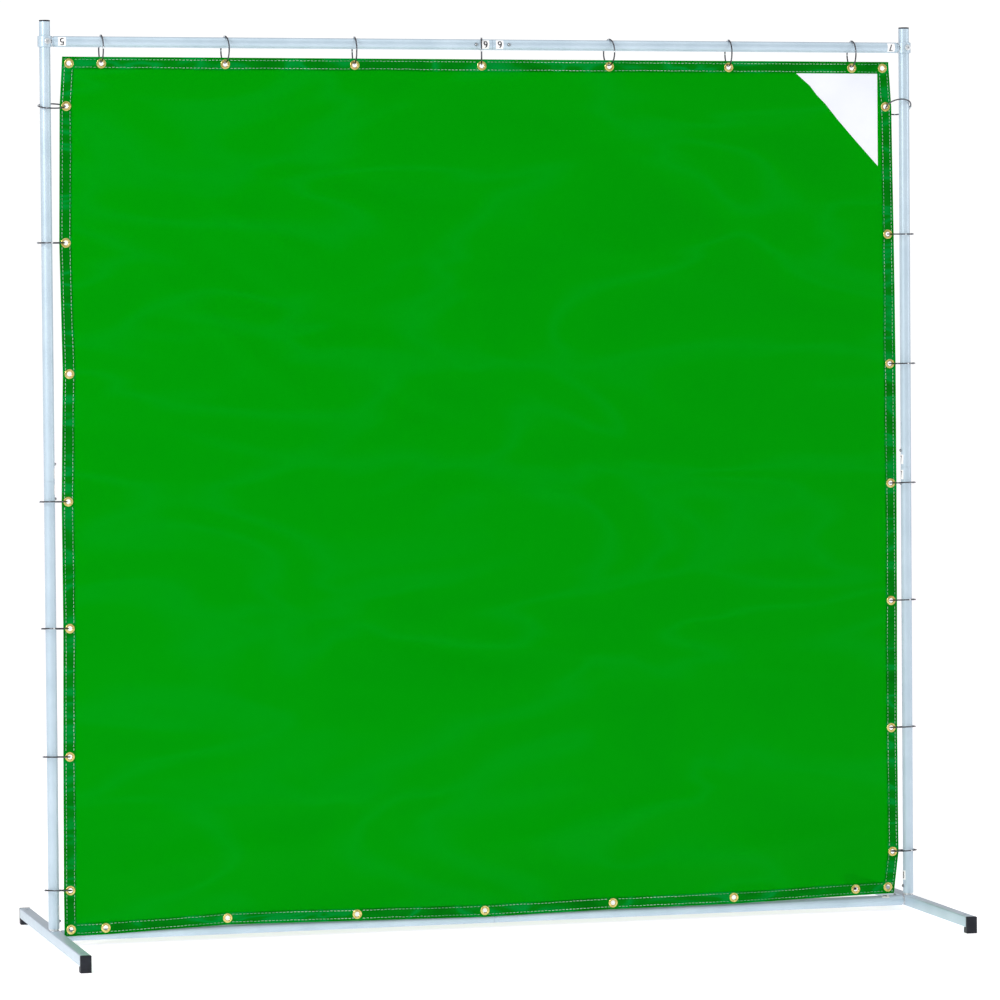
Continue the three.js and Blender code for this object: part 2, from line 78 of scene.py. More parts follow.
class Look:
    """A node material: one Principled shader, fed by textures in the object's own coordinates."""

    def __init__(self, name, **sockets):
        self.material = bpy.data.materials.new(name)
        self.material.use_nodes = True
        self.tree = self.material.node_tree
        self.shader = self.tree.nodes["Principled BSDF"]
        self.output = self.tree.nodes["Material Output"]
        for socket, value in sockets.items():
            self.shader.inputs[socket.replace("_", " ")].default_value = value
        self.place = self.tree.nodes.new("ShaderNodeTexCoord").outputs["Object"]

    def node(self, kind, **settings):
        made = self.tree.nodes.new(kind)
        for key, value in settings.items():
            if hasattr(made, key):
                setattr(made, key, value)
            else:
                made.inputs[key.replace("_", " ")].default_value = value
        return made

    def link(self, source, target):
        self.tree.links.new(source, target)

    def noise(self, scale, detail=3.0, stretch=(1, 1, 1), roughness=0.5, lean=0.0, swirl=0.0):
        where = self.node("ShaderNodeMapping")
        where.inputs["Scale"].default_value = stretch
        where.inputs["Rotation"].default_value = (0, lean, 0)
        self.link(self.place, where.inputs["Vector"])
        made = self.node("ShaderNodeTexNoise", Scale=scale, Detail=detail, Roughness=roughness)
        made.inputs["Distortion"].default_value = swirl
        self.link(where.outputs["Vector"], made.inputs["Vector"])
        return made.outputs["Fac"]

    def ramp(self, source, stops):
        made = self.node("ShaderNodeValToRGB")
        while len(made.color_ramp.elements) < len(stops):
            made.color_ramp.elements.new(0.5)
        for element, (at, color) in zip(made.color_ramp.elements, stops):
            element.position = at
            element.color = (*color, 1)
        self.link(source, made.inputs["Fac"])
        return made.outputs["Color"]

    def vary_color(self, source, dark, light, spread=(0.3, 0.7)):
        color = self.ramp(source, [(spread[0], dark), (spread[1], light)])
        self.link(color, self.shader.inputs["Base Color"])

    def vary_roughness(self, source, low, high):
        made = self.node("ShaderNodeMapRange")
        made.inputs["To Min"].default_value = low
        made.inputs["To Max"].default_value = high
        self.link(source, made.inputs["Value"])
        self.link(made.outputs["Result"], self.shader.inputs["Roughness"])

    def bump(self, source, strength, depth):
        made = self.node("ShaderNodeBump", Strength=strength, Distance=depth)
        self.link(source, made.inputs["Height"])
        self.link(made.outputs["Normal"], self.shader.inputs["Normal"])

    def see_through(self, tint, opacity):
        clear = self.node("ShaderNodeBsdfTransparent")
        clear.inputs["Color"].default_value = (*tint, 1)
        mix = self.node("ShaderNodeMixShader")
        mix.inputs["Fac"].default_value = opacity
        self.link(clear.outputs["BSDF"], mix.inputs[1])
        self.link(self.shader.outputs["BSDF"], mix.inputs[2])
        self.link(mix.outputs["Shader"], self.output.inputs["Surface"])


def tube_look():
    look = Look("tube_coat", Metallic=0.32, Coat_Weight=0.12, Coat_Roughness=0.3)
    look.vary_color(look.noise(14, 4), (0.42, 0.53, 0.61), (0.50, 0.61, 0.69))
    look.vary_roughness(look.noise(60, 4), 0.32, 0.42)
    look.bump(look.noise(900, 2), 0.05, GRAIN)
    return look.material


def spring_look():
    look = Look("spring_steel", Metallic=0.9)
    look.vary_color(look.noise(200, 4), (0.20, 0.21, 0.23), (0.44, 0.46, 0.48))
    look.vary_roughness(look.noise(300, 3), 0.18, 0.3)
    return look.material


def zinc_look():
    look = Look("zinc", Metallic=0.85)
    look.vary_color(look.noise(120, 5), (0.52, 0.56, 0.58), (0.72, 0.75, 0.77))
    look.vary_roughness(look.noise(300, 3), 0.25, 0.42)
    look.bump(look.noise(1200, 3), 0.12, GRAIN)
    return look.material


def weld_look():
    look = Look("weld", Metallic=0.9)
    look.vary_color(look.noise(400, 4), (0.38, 0.40, 0.43), (0.80, 0.80, 0.80))
    look.vary_roughness(look.noise(500, 3), 0.15, 0.4)
    look.bump(look.noise(700, 4), 0.5, 0.5 * MM)
    return look.material


def plastic_look():
    look = Look("black_plastic", Specular_IOR_Level=0.24)
    look.vary_color(look.noise(80, 4), (0.007, 0.008, 0.013), (0.016, 0.018, 0.026))
    look.vary_roughness(look.noise(200, 3), 0.38, 0.55)
    look.bump(look.noise(1800, 2), 0.15, 0.15 * MM)
    return look.material


def ring_look():
    look = Look("ring_steel", Metallic=1.0)
    look.vary_color(look.noise(60, 3), (0.045, 0.047, 0.055), (0.15, 0.155, 0.17))
    look.vary_roughness(look.noise(500, 3), 0.10, 0.24)
    return look.material


def brass_look():
    look = Look("grommet_brass", Metallic=1.0)
    look.vary_color(look.noise(150, 4), (0.44, 0.34, 0.08), (0.80, 0.68, 0.27))
    look.vary_roughness(look.noise(400, 3), 0.10, 0.24)
    look.bump(look.noise(800, 3), 0.12, GRAIN)
    return look.material


def vinyl_look(name, dark, light, painted_sheen, scale, opacity):
    look = Look(name, Specular_IOR_Level=0.30, Specular_Tint=(0.02, 1.0, 0.12, 1))
    # The base colour runs in soft stretched bands with a lighter, bluer streak: painted sheen standing in
    # for light caught along creases.
    sheen_bands = look.noise(scale, 2.2, (0.7, 1, 2.1), 0.45, 0.5, 0.7)
    stops = [(0.28, dark), (0.44, light), (0.5, painted_sheen), (0.56, light), (0.74, dark)]
    look.link(look.ramp(sheen_bands, stops), look.shader.inputs["Base Color"])
    look.vary_roughness(look.noise(18, 3), 0.28, 0.42)
    look.bump(look.noise(260, 2), 0.05, GRAIN)
    look.see_through((0.0, 0.8, 0.01), opacity)
    return look.material


def thread_look():
    look = Look("thread", Sheen_Weight=0.3)
    look.vary_color(look.noise(9, 4), (0.10, 0.32, 0.20), (0.62, 0.76, 0.70), (0.38, 0.66))
    look.vary_roughness(look.noise(900, 2), 0.55, 0.8)
    look.bump(look.noise(2500, 2), 0.4, GRAIN)
    return look.material


def patch_look():
    look = Look("patch_vinyl", Specular_IOR_Level=0.3)
    look.vary_color(look.noise(9, 3), (0.70, 0.725, 0.775), (0.765, 0.785, 0.83))
    look.vary_roughness(look.noise(40, 3), 0.38, 0.52)
    look.bump(look.noise(500, 2), 0.04, GRAIN)
    return look.material


def label_look():
    look = Look("label", Specular_IOR_Level=0.35)
    look.vary_color(look.noise(60, 3), (0.82, 0.82, 0.82), (0.90, 0.90, 0.90))
    look.vary_roughness(look.noise(200, 3), 0.35, 0.5)
    return look.material


def ink_look():
    look = Look("ink", Specular_IOR_Level=0.3)
    look.vary_color(look.noise(400, 3), (0.02, 0.02, 0.025), (0.07, 0.07, 0.08))
    look.vary_roughness(look.noise(300, 2), 0.45, 0.6)
    return look.material


def floor_look():
    look = Look("studio_floor", Specular_IOR_Level=0.1, Roughness=0.9)
    look.vary_color(look.noise(0.7, 2), (0.90, 0.885, 0.895), (0.92, 0.905, 0.915))
    look.shader.inputs["Emission Color"].default_value = (1.0, 0.99, 1.0, 1)
    look.shader.inputs["Emission Strength"].default_value = 0.5
    return look.material


tube_coat = tube_look()
zinc = zinc_look()
spring_steel = spring_look()
weld = weld_look()
black_plastic = plastic_look()
ring_steel = ring_look()
brass = brass_look()
# The last colour of each vinyl, its streak, is painted sheen: lighter, bluer bands where creases would
# catch light.
vinyl = vinyl_look(
    "curtain_vinyl", dark=(0.0, 0.254, 0.0), light=(0.0, 0.268, 0.0), painted_sheen=(0.0, 0.277, 0.003),
    scale=2.6, opacity=0.72)
hem_vinyl = vinyl_look(
    "hem_vinyl", dark=(0.0, 0.128, 0.001), light=(0.0, 0.178, 0.003), painted_sheen=(0.0, 0.235, 0.028),
    scale=9.0, opacity=0.88)
thread = thread_look()
patch_vinyl = patch_look()
label_white = label_look()
label_ink = ink_look()


# ---------------- mesh tools

def turn(axis, side=None):
    """The rotation that takes Z to axis, and X to side where it is given."""
    if side is None:
        return axis.to_track_quat("Z", "Y").to_matrix().to_4x4()
    side = Vector(side).normalized()
    axis = Vector(axis).normalized()
    across = axis.cross(side)
    return Matrix((side, across, axis)).transposed().to_4x4()


def placed(at, axis=Z, side=None):
    return Matrix.Translation(at) @ turn(axis, side)


def tidy_mesh(mesh, closing=False):
    """Joins a mesh's doubled points and turns its faces outward; closing also fills its holes."""
    bm = bmesh.new()
    bm.from_mesh(mesh)
    bmesh.ops.remove_doubles(bm, verts=bm.verts, dist=1e-7)
    if closing:
        bmesh.ops.holes_fill(bm, edges=bm.edges)
    else:
        bmesh.ops.dissolve_degenerate(bm, dist=1e-8, edges=bm.edges)
    bmesh.ops.recalc_face_normals(bm, faces=bm.faces)
    bm.to_mesh(mesh)
    bm.free()


def build(name, shells, looks, body, sharp=34):
    """One mesh object from shells of (vertices, faces, look's index)."""
    mesh = bpy.data.meshes.new(name)
    points, faces, marks = [], [], []
    for verts, polys, mark in shells:
        start = len(points)
        points.extend(tuple(v) for v in verts)
        faces.extend([i + start for i in poly] for poly in polys)
        marks.extend([mark] * len(polys))
    mesh.from_pydata(points, [], faces)
    for look in looks:
        mesh.materials.append(look)
    mesh.polygons.foreach_set("material_index", marks)
    tidy_mesh(mesh)
    made = bpy.data.objects.new(name, mesh)
    scene.collection.objects.link(made)
    finish_mesh(made, sharp)
    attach(made, body)
    return made


def finish_mesh(made, sharp):
    made.data.shade_smooth()
    made.data.set_sharp_from_angle(angle=math.radians(sharp))


def lathe(profile, where, segments=64, start=0.0, look=0):
    """The profile of (radius, height) turned about where's Z; a closed profile repeats its first point."""
    verts, faces = [], []
    count = len(profile)
    for i in range(segments):
        a = start + 2 * math.pi * i / segments
        c, s = math.cos(a), math.sin(a)
        verts.extend(where @ Vector((r * c, r * s, h)) for r, h in profile)
    for i in range(segments):
        j = (i + 1) % segments
        for k in range(count - 1):
            faces.append([i * count + k, j * count + k, j * count + k + 1, i * count + k + 1])
    return verts, faces, look


def loft(sections, look=0):
    """A closed surface through rings of points, the last ring joined to the first."""
    count = len(sections[0])
    faces = []
    for i in range(len(sections)):
        j = (i + 1) % len(sections)
        for k in range(count):
            n = (k + 1) % count
            faces.append([i * count + k, j * count + k, j * count + n, i * count + n])
    return [point for section in sections for point in section], faces, look


def pipe_profile(inner, outer, length, edge=0.3 * MM, start=0.0, steps=()):
    """A pipe's closed profile; steps are heights where its walls are split."""
    end = start + length
    return [
        (inner, start + edge), (inner + edge, start), (outer - edge, start), (outer, start + edge),
        *((outer, h) for h in steps),
        (outer, end - edge), (outer - edge, end), (inner + edge, end), (inner, end - edge),
        *((inner, h) for h in reversed(steps)),
        (inner, start + edge),
    ]


def rounded(points, radius, steps=4):
    """The profile with each corner between its ends made round."""
    out = [points[0]]
    for before, at, after in zip(points, points[1:], points[2:]):
        p, a, b = Vector(at), Vector(before), Vector(after)
        r = min(radius, (a - p).length * 0.45, (b - p).length * 0.45)
        first, last = p + (a - p).normalized() * r, p + (b - p).normalized() * r
        for i in range(steps + 1):
            t = i / steps
            q = first * (1 - t) ** 2 + p * (2 * t * (1 - t)) + last * t ** 2
            out.append((q.x, q.y))
    out.append(points[-1])
    return out


def apply(made, sharp):
    """Makes what an object's modifiers give its own mesh."""
    bpy.context.view_layer.update()
    evaluated = made.evaluated_get(bpy.context.evaluated_depsgraph_get())
    mesh = bpy.data.meshes.new_from_object(evaluated)
    made.modifiers.clear()
    made.data = mesh
    finish_mesh(made, sharp)


def cut(made, cutters, sharp=34):
    """Takes closed cutter shells out of an object."""
    tools = []
    for verts, faces, _ in cutters:
        mesh = bpy.data.meshes.new("cutter")
        mesh.from_pydata([tuple(v) for v in verts], [], faces)
        tidy_mesh(mesh, closing=True)
        tool = bpy.data.objects.new("cutter", mesh)
        scene.collection.objects.link(tool)
        tools.append(tool)
        modifier = made.modifiers.new("cut", "BOOLEAN")
        modifier.operation = "DIFFERENCE"
        modifier.solver = "EXACT"
        modifier.object = tool
    apply(made, sharp)
    for tool in tools:
        bpy.data.objects.remove(tool)


def centre(node):
    low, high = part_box(node)
    return (low + high) / 2


def size(node):
    low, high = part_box(node)
    return high - low

def across(vector, along):
    """The part of a vector that is square to along."""
    return vector - along * vector.dot(along)


def box_shell(where, dims):
    """A box of the given dimensions, centred on where's origin."""
    w, d, h = (v / 2 for v in dims)
    square = ((-1, -1), (1, -1), (1, 1), (-1, 1))
    verts = [where @ Vector((sx * w, sy * d, sz * h)) for sz in (-1, 1) for sx, sy in square]
    faces = [[3, 2, 1, 0], [4, 5, 6, 7], [0, 1, 5, 4], [1, 2, 6, 5], [2, 3, 7, 6], [3, 0, 4, 7]]
    return verts, faces, 0


def weld_bead(where, radius, leg, seed):
    """A fillet weld round a round piece at where's origin: a ring of overlapping scallops."""
    segments, scallop = 72, 4
    sections = []
    for i in range(segments):
        a = 2 * math.pi * i / segments
        fat = leg * (0.86 + 0.14 * math.cos(i * 2 * math.pi / scallop + seed)) * 1.05
        turns = np.linspace(0, math.pi / 2, 7)
        profile = [(radius - 0.2 * MM + fat * math.cos(t), fat * math.sin(t) - 0.2 * MM) for t in turns]
        profile.append((radius - 0.3 * MM, -0.3 * MM))
        sections.append([where @ Vector((r * math.cos(a), r * math.sin(a), h)) for r, h in profile])
    return loft(sections, 1)


# ---------------- frame tubes

TUBE_WALL = 1.2 * MM
BUTTON_HOLE_R = 3.6 * MM
HOLE_SPLIT = 6 * MM  # how far from a hole's middle the tube's walls are split
BUTTON_R = 3.0 * MM
LEAF_HEIGHT = 7.0 * MM  # the spring leaf's middle, from the tube's centre line
LEAF = (30 * MM, 8 * MM, 0.8 * MM)
TUBES = {
    "left_lower_upright": (Z, ["left_upright_foot_button", "left_upright_lower_button"]),
    "left_upper_upright": (Z, ["left_upright_upper_button"]),
    "right_lower_upright": (Z, ["right_upright_foot_button", "right_upright_lower_button"]),
    "right_upper_upright": (Z, ["right_upright_upper_button"]),
    "bottom_bar_left": (X, ["bottom_bar_left_end_button", "bottom_bar_left_button"]),
    "bottom_bar_right": (X, ["bottom_bar_right_button", "bottom_bar_right_end_button"]),
    "top_bar_left": (X, ["top_bar_left_button"]),
    "top_bar_right": (X, ["top_bar_right_button"]),
}


def button_place(node, tube, along):
    """Where a button's axis crosses its tube's centre line, and which way it faces."""
    middle = centre(tube)
    offset = centre(node) - middle
    return middle + along * offset.dot(along), across(offset, along).normalized()


def make_tube(node, along, buttons):
    """A round tube with a hole for each of its buttons."""
    length = size(node).dot(along)
    radius = size(node).dot(Y) / 2
    start = centre(node) - along * (length / 2)
    places = [(centre(button) - start).dot(along) for button in buttons]
    splits = sorted(h + way * HOLE_SPLIT for h in places for way in (-1, 1))
    pipe = pipe_profile(radius - TUBE_WALL, radius, length, steps=splits)
    shell = lathe(pipe, placed(start, along), 72)
    made = build(node + "_tube", [shell], [tube_coat], BODY[node])
    reach = radius * 1.3
    drill = [(0, 0), (BUTTON_HOLE_R, 0), (BUTTON_HOLE_R, reach), (0, reach)]
    cut(made, [lathe(drill, placed(*button_place(button, node, along)), 32) for button in buttons])
    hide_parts(node)


def make_button(node, tube, along):
    """A domed pin on a spring leaf that lies along the tube."""
    at, out = button_place(node, tube, along)
    low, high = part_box(node)
    tip = max(abs((low - at).dot(out)), abs((high - at).dot(out)))
    turns = np.linspace(0.2, math.pi / 2, 8)
    dome = [(BUTTON_R * math.sin(t), tip - BUTTON_R * 0.75 * (1 - math.cos(t))) for t in turns]
    pin = [(0, tip), *dome, (BUTTON_R, LEAF_HEIGHT), (0, LEAF_HEIGHT)]
    leaf = box_shell(placed(at + out * LEAF_HEIGHT, out, along), LEAF)
    shells = [lathe(pin, placed(at, out), 40), leaf]
    made = build(node + "_snap", shells, [spring_steel], BODY[node], 50)
    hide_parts(node)


for tube, (along, buttons) in TUBES.items():
    make_tube(tube, along, buttons)
    for button in buttons:
        make_button(button, tube, along)


# ---------------- feet and caps

FOOT_HALF = 11.1 * MM
FOOT_WALL = 1.5 * MM
FOOT_CORNER = 2.2 * MM
SLEEVE_R = 9.6 * MM
SLEEVE_BORE_R = 8.1 * MM
BAR_STUB = 64 * MM
STUB_SUNK = 0.5 * MM  # how far a stub reaches into the foot's wall
ANCHOR_R = 4 * MM
ANCHOR_INSET = 40 * MM  # from the end of the foot to its hole


def square_loop(half, radius, steps=5):
    """A square outline with round corners."""
    reach = half - radius
    out = []
    for quarter, (cx, cz) in enumerate(((1, 1), (-1, 1), (-1, -1), (1, -1))):
        for i in range(steps + 1):
            a = math.pi / 2 * (quarter + i / steps)
            out.append((reach * cx + radius * math.cos(a), reach * cz + radius * math.sin(a)))
    return out


def square_tube(where, length):
    outer = square_loop(FOOT_HALF, FOOT_CORNER)
    inner = square_loop(FOOT_HALF - FOOT_WALL, FOOT_CORNER - FOOT_WALL + 0.6 * MM)
    rings = ((outer, 0), (outer, length), (inner, length), (inner, 0))
    return loft([[where @ Vector((a, b, y)) for a, b in loop] for loop, y in rings])


def stub_shells(at, out, length, seed):
    """A sleeve that stands on the foot, and its weld."""
    where = placed(at, out)
    profile = pipe_profile(SLEEVE_BORE_R, SLEEVE_R, length + STUB_SUNK, start=-STUB_SUNK)
    return [lathe(profile, where, 56), weld_bead(where, SLEEVE_R, 1.2 * MM, seed)]


def foot(side, inward):
    """A square tube with an anchor hole near each end, and the stubs for the upright and the bottom bar."""
    node = side + "_foot"
    low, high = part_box(node)
    axis = Vector((centre(side + "_lower_upright").x, 0, centre("bottom_bar_left").z))
    shell = square_tube(placed(Vector((axis.x, low.y, axis.z)), Y, X), high.y - low.y)
    made = build(node + "_tube", [shell], [tube_coat], BODY[node], 30)
    reach = FOOT_HALF + 3 * MM
    drill = [(0, -reach), (ANCHOR_R, -reach), (ANCHOR_R, reach), (0, reach)]
    hole_y = cad_high.y - ANCHOR_INSET
    cut(made, [lathe(drill, placed(axis + Y * (way * hole_y)), 40) for way in (-1, 1)], 30)
    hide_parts(node)
    up_at = axis + Z * FOOT_HALF
    shells = stub_shells(up_at, Z, high.z - up_at.z, 0.3)
    shells += stub_shells(axis + inward * FOOT_HALF, inward, BAR_STUB, 1.7)
    stubs = build(node + "_stubs", shells, [zinc, weld], BODY[node], 40)
    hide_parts(node)


def foot_cap(node, outward):
    """A flange and a pad back under the tube, with soft edges, and a ribbed plug."""
    low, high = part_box(node)
    flange, depth, pad = 7.7 * MM, 20 * MM, 11.7 * MM
    face = high.y if outward > 0 else low.y
    width, height = high.x - low.x, high.z - low.z
    profile = [(0, 0), (depth, 0), (depth, pad), (flange, pad), (flange, height), (0, height)]
    verts = [Vector((x, face - outward * a, low.z + b)) for x in (low.x, high.x) for a, b in profile]
    n = len(profile)
    faces = [list(range(n)), list(range(2 * n - 1, n - 1, -1))]
    faces += [[i, (i + 1) % n, n + (i + 1) % n, n + i] for i in range(n)]
    made = build(node + "_moulding", [(verts, faces, 0)], [black_plastic], BODY[node], 40)
    bevel = made.modifiers.new("edges", "BEVEL")
    bevel.width = 1.5 * MM
    bevel.segments = 4
    bevel.limit_method = "ANGLE"
    bevel.angle_limit = math.radians(40)
    apply(made, 40)
    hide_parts(node)

    def square(inset, side, thick):
        at = Vector(((low.x + high.x) / 2, face - outward * (flange + inset), low.z + height - width / 2))
        return box_shell(placed(at, Y, X), (side, side, thick))

    ribs = [square((3 + 5 * k) * MM, 18.4 * MM, 1.6 * MM) for k in range(3)]
    core = square(7.9 * MM, 16 * MM, 16 * MM)
    plug = build(node + "_plug", [*ribs, core], [black_plastic], BODY[node], 40)
    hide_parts(node)


def upright_cap(side):
    """A plug with a flat round head over the end of the upright."""
    node = side + "_upright_cap"
    low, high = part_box(node)
    axis = Vector((centre(node).x, centre(node).y, high.z))
    r = (high.x - low.x) / 2
    stem, under, end = r - 1.5 * MM, -2.7 * MM, low.z - high.z
    corners = [(0, 0), (r, 0), (r, under), (stem, under), (stem, end), (0, end)]
    disc = lathe(rounded(corners, 1.1 * MM), placed(axis), 72)
    made = build(node + "_disc", [disc], [black_plastic], BODY[node], 50)
    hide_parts(node)


for side, inward in SIDES.items():
    foot(side, inward)
    foot_cap(side + "_front_foot_cap", -1)
    foot_cap(side + "_back_foot_cap", 1)
    upright_cap(side)


# ---------------- collars and clamp screws

COLLAR_R = 14.5 * MM
COLLAR_BORE_R = 11.4 * MM
ARM_START = 12.6 * MM
ARM_END = 78.5 * MM
SCREW_R = 6.5 * MM
SHANK_R = 3 * MM
SHANK_FOOT = 11.4 * MM
HEAD_FOOT = 14.8 * MM
HEAD_TOP = 19.8 * MM
SOCKET_R = 2.5 * MM
SOCKET_DEPTH = 2.5 * MM


def saddle_weld(at, inward):
    """The bead where a collar's arm meets its round sleeve."""
    segments, scallop = 80, 5
    reach = SLEEVE_R + 0.2 * MM
    turns = [2 * math.pi * k / 10 for k in range(10)]
    sections = []
    for i in range(segments):
        a = 2 * math.pi * i / segments
        radial = Y * math.cos(a) + Z * math.sin(a)
        depth = math.sqrt(COLLAR_R ** 2 - (reach * math.cos(a)) ** 2)
        point = at + inward * depth + radial * reach
        fat = (1.0 + 0.18 * math.cos(i * 2 * math.pi / scallop)) * MM
        sections.append([point + (radial * math.cos(t) + inward * math.sin(t)) * fat for t in turns])
    return loft(sections, 1)


def collar(side, inward):
    node = side + "_collar"
    low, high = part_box(node)
    upright = centre(side + "_upper_upright")
    at = Vector((upright.x, upright.y, (low.z + high.z) / 2))
    height = high.z - low.z
    sleeve = pipe_profile(COLLAR_BORE_R, COLLAR_R, height, 0.8 * MM, -height / 2)
    arm = pipe_profile(SLEEVE_BORE_R, SLEEVE_R, ARM_END - ARM_START, 0.4 * MM, ARM_START)
    shells = [lathe(sleeve, placed(at), 80), lathe(arm, placed(at, inward), 64), saddle_weld(at, inward)]
    made = build(node + "_casting", shells, [tube_coat, weld], BODY[node])
    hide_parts(node)


def clamp_screw(side):
    """A round head with a hexagon socket, on its shank."""
    node = side + "_clamp_screw"
    upright = centre(side + "_upper_upright")
    at = Vector((upright.x, upright.y, centre(node).z))
    out = across(centre(node) - at, Z).normalized()
    corners = [
        (0, HEAD_TOP), (SCREW_R - 0.4 * MM, HEAD_TOP), (SCREW_R, HEAD_FOOT), (SHANK_R, HEAD_FOOT),
        (SHANK_R, SHANK_FOOT), (0, SHANK_FOOT),
    ]
    head = lathe(rounded(corners, 1.6 * MM, 6), placed(at, out), 64)
    made = build(node + "_head", [head], [zinc], BODY[node], 40)
    bottom, above = HEAD_TOP - SOCKET_DEPTH, HEAD_TOP + 1 * MM
    socket = [(0, bottom), (SOCKET_R, bottom), (SOCKET_R, above), (0, above)]
    cut(made, [lathe(socket, placed(at, out), 6)], 40)
    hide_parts(node)


for side, inward in SIDES.items():
    collar(side, inward)
    clamp_screw(side)


# ---------------- curtain

THICK = 0.55 * MM  # of the curtain's own sheet
STRIP_THICK = 0.3 * MM  # of a hem strip and of the corner patch
HEM = 25 * MM
HOLE_CLEAR = 0.3 * MM  # how far the sheets' holes stand back from the grommets' barrels
NEAR_EDGE = 12 * MM  # how far from a side's straight line its points may lie


def curtain_rims():
    """The CAD curtain's front outline and its holes, as loops of (x, z), with the plane y = a + b z."""
    bm = bmesh.new()
    bm.from_mesh(nodes["curtain"].data)
    bmesh.ops.remove_doubles(bm, verts=bm.verts, dist=1e-6)
    front = {f for f in bm.faces if f.normal.y < -0.9}
    follow = {}
    for face in front:
        for loop in face.loops:
            others = [f for f in loop.edge.link_faces if f in front]
            if len(others) == 1:
                follow[loop.vert.index] = loop.link_loop_next.vert.index
    places = {v.index: v.co.copy() for v in bm.verts}
    bm.free()
    rims = []
    while follow:
        start, at = next(iter(follow.items()))
        rim = [start]
        del follow[start]
        while at != start:
            rim.append(at)
            at = follow.pop(at)
        rims.append([places[i] for i in rim])
    heights = np.array([p.z for rim in rims for p in rim])
    depths = np.array([p.y for rim in rims for p in rim])
    slope, base = np.polyfit(heights, depths, 1)
    rims.sort(key=lambda rim: -len(rim) * (max(p.x for p in rim) - min(p.x for p in rim)))
    loops = [[(p.x, p.z) for p in rim] for rim in rims]
    return loops[0], loops[1:], base, slope


outline, hole_rims, plane_base, plane_slope = curtain_rims()
holes = np.array([np.mean(rim, axis=0) for rim in hole_rims])
hole_r = np.mean([np.linalg.norm(np.array(rim) - c, axis=1).mean() for rim, c in zip(hole_rims, holes)])
outline = np.array(outline)
low_x, low_z = outline.min(0)
high_x, high_z = outline.max(0)
wide, tall = high_x - low_x, high_z - low_z

# Soft creases: height in mm toward the front, breadth in mm, and the points each runs through, as shares of
# the curtain's width from the left and of its height from the bottom.
CREASES = [
    (-5.0, 26, [(0.13, 0.81), (0.25, 0.72), (0.34, 0.69), (0.48, 0.68)]),
    (4.0, 20, [(0.17, 0.84), (0.31, 0.76)]),
    (-4.4, 24, [(0.26, 0.90), (0.40, 0.83), (0.52, 0.84)]),
    (4.4, 26, [(0.09, 0.77), (0.21, 0.67), (0.31, 0.59)]),
    (-3.4, 20, [(0.33, 0.65), (0.43, 0.58), (0.50, 0.57)]),
    (2.2, 11, [(0.38, 0.50), (0.51, 0.50), (0.67, 0.49)]),
    (2.2, 11, [(0.47, 0.33), (0.59, 0.31), (0.68, 0.30)]),
    (2.0, 10, [(0.75, 0.29), (0.84, 0.28), (0.93, 0.27)]),
    (1.1, 10, [(0.84, 0.155), (0.92, 0.15)]),
    (1.6, 12, [(0.48, 0.14), (0.58, 0.15), (0.68, 0.15)]),
    (5.4, 30, [(0.42, 0.08), (0.58, 0.09), (0.70, 0.12), (0.78, 0.13)]),
    (5.4, 30, [(0.65, 0.04), (0.83, 0.07), (0.98, 0.09)]),
    (5.2, 30, [(0.03, 0.06), (0.18, 0.09), (0.32, 0.09)]),
    (4.0, 26, [(0.06, 0.12), (0.22, 0.15), (0.42, 0.15)]),
    (-3.2, 22, [(0.27, 0.37), (0.39, 0.33), (0.54, 0.29)]),
    (3.8, 30, [(0.54, 0.81), (0.69, 0.77), (0.85, 0.72)]),
    (-4.6, 34, [(0.58, 0.93), (0.76, 0.84), (0.90, 0.71)]),
]


def near_line(points, run):
    """Distance of points to a polyline, and how far along it, from 0 to 1, each is nearest."""
    best = np.full(len(points), 1e9)
    share = np.zeros(len(points))
    lengths = [np.linalg.norm(b - a) for a, b in zip(run, run[1:])]
    total, done = sum(lengths), 0.0
    for a, b, length in zip(run, run[1:], lengths):
        t = np.clip((points - a) @ (b - a) / length ** 2, 0, 1)
        d = np.linalg.norm(points - a - t[:, None] * (b - a), axis=1)
        nearer = d < best
        best = np.where(nearer, d, best)
        share = np.where(nearer, (done + t * length) / total, share)
        done += length
    return best, share


def smooth_run(run):
    """A run of points with its corners rounded."""
    run = [np.array(p) for p in run]
    for _ in range(3):
        cut_run = [run[0]]
        for a, b in zip(run, run[1:]):
            cut_run += [a * 0.75 + b * 0.25, a * 0.25 + b * 0.75]
        run = cut_run + [run[-1]]
    return run


def billow(points):
    """How far the sheet stands in front of its plane at points of (x, z), in metres."""
    out = np.zeros(len(points))
    spans = np.array([wide, tall])
    for rise, breadth, run in CREASES:
        path = smooth_run([np.array([low_x, low_z]) + np.array(p) * spans for p in run])
        d, share = near_line(points, path)
        taper = np.sin(np.pi * np.clip(share, 0.02, 0.98)) ** 0.6
        out += rise * MM * taper * np.exp(-(d / (breadth * MM)) ** 2)
    soft = np.array([
        noise.noise(Vector((x * 2.3, 4.1, z * 3.4))) + 0.45 * noise.noise(Vector((x * 5.2, 9.3, z * 8.5)))
        for x, z in points
    ])
    out += 2.2 * MM * soft
    for x, z in holes:
        d = np.hypot(points[:, 0] - x, points[:, 1] - z)
        out *= 1 - np.exp(-(d / (34 * MM)) ** 2)
    edge = np.minimum.reduce([points[:, 0] - low_x, high_x - points[:, 0], high_z - points[:, 1]])
    out *= 0.35 + 0.65 * np.clip(edge / (90 * MM), 0, 1)
    low = np.clip((points[:, 1] - low_z) / (70 * MM), 0, 1)
    return np.where(out < 0, out * low, out)


def inside(points, loop):
    x, z = points[:, 0], points[:, 1]
    odd = np.zeros(len(points), bool)
    for (x0, z0), (x1, z1) in zip(loop, np.roll(loop, -1, 0)):
        crosses = (z0 > z) != (z1 > z)
        with np.errstate(divide="ignore", invalid="ignore"):
            odd ^= crosses & (x < (x1 - x0) * (z - z0) / (z1 - z0) + x0)
    return odd


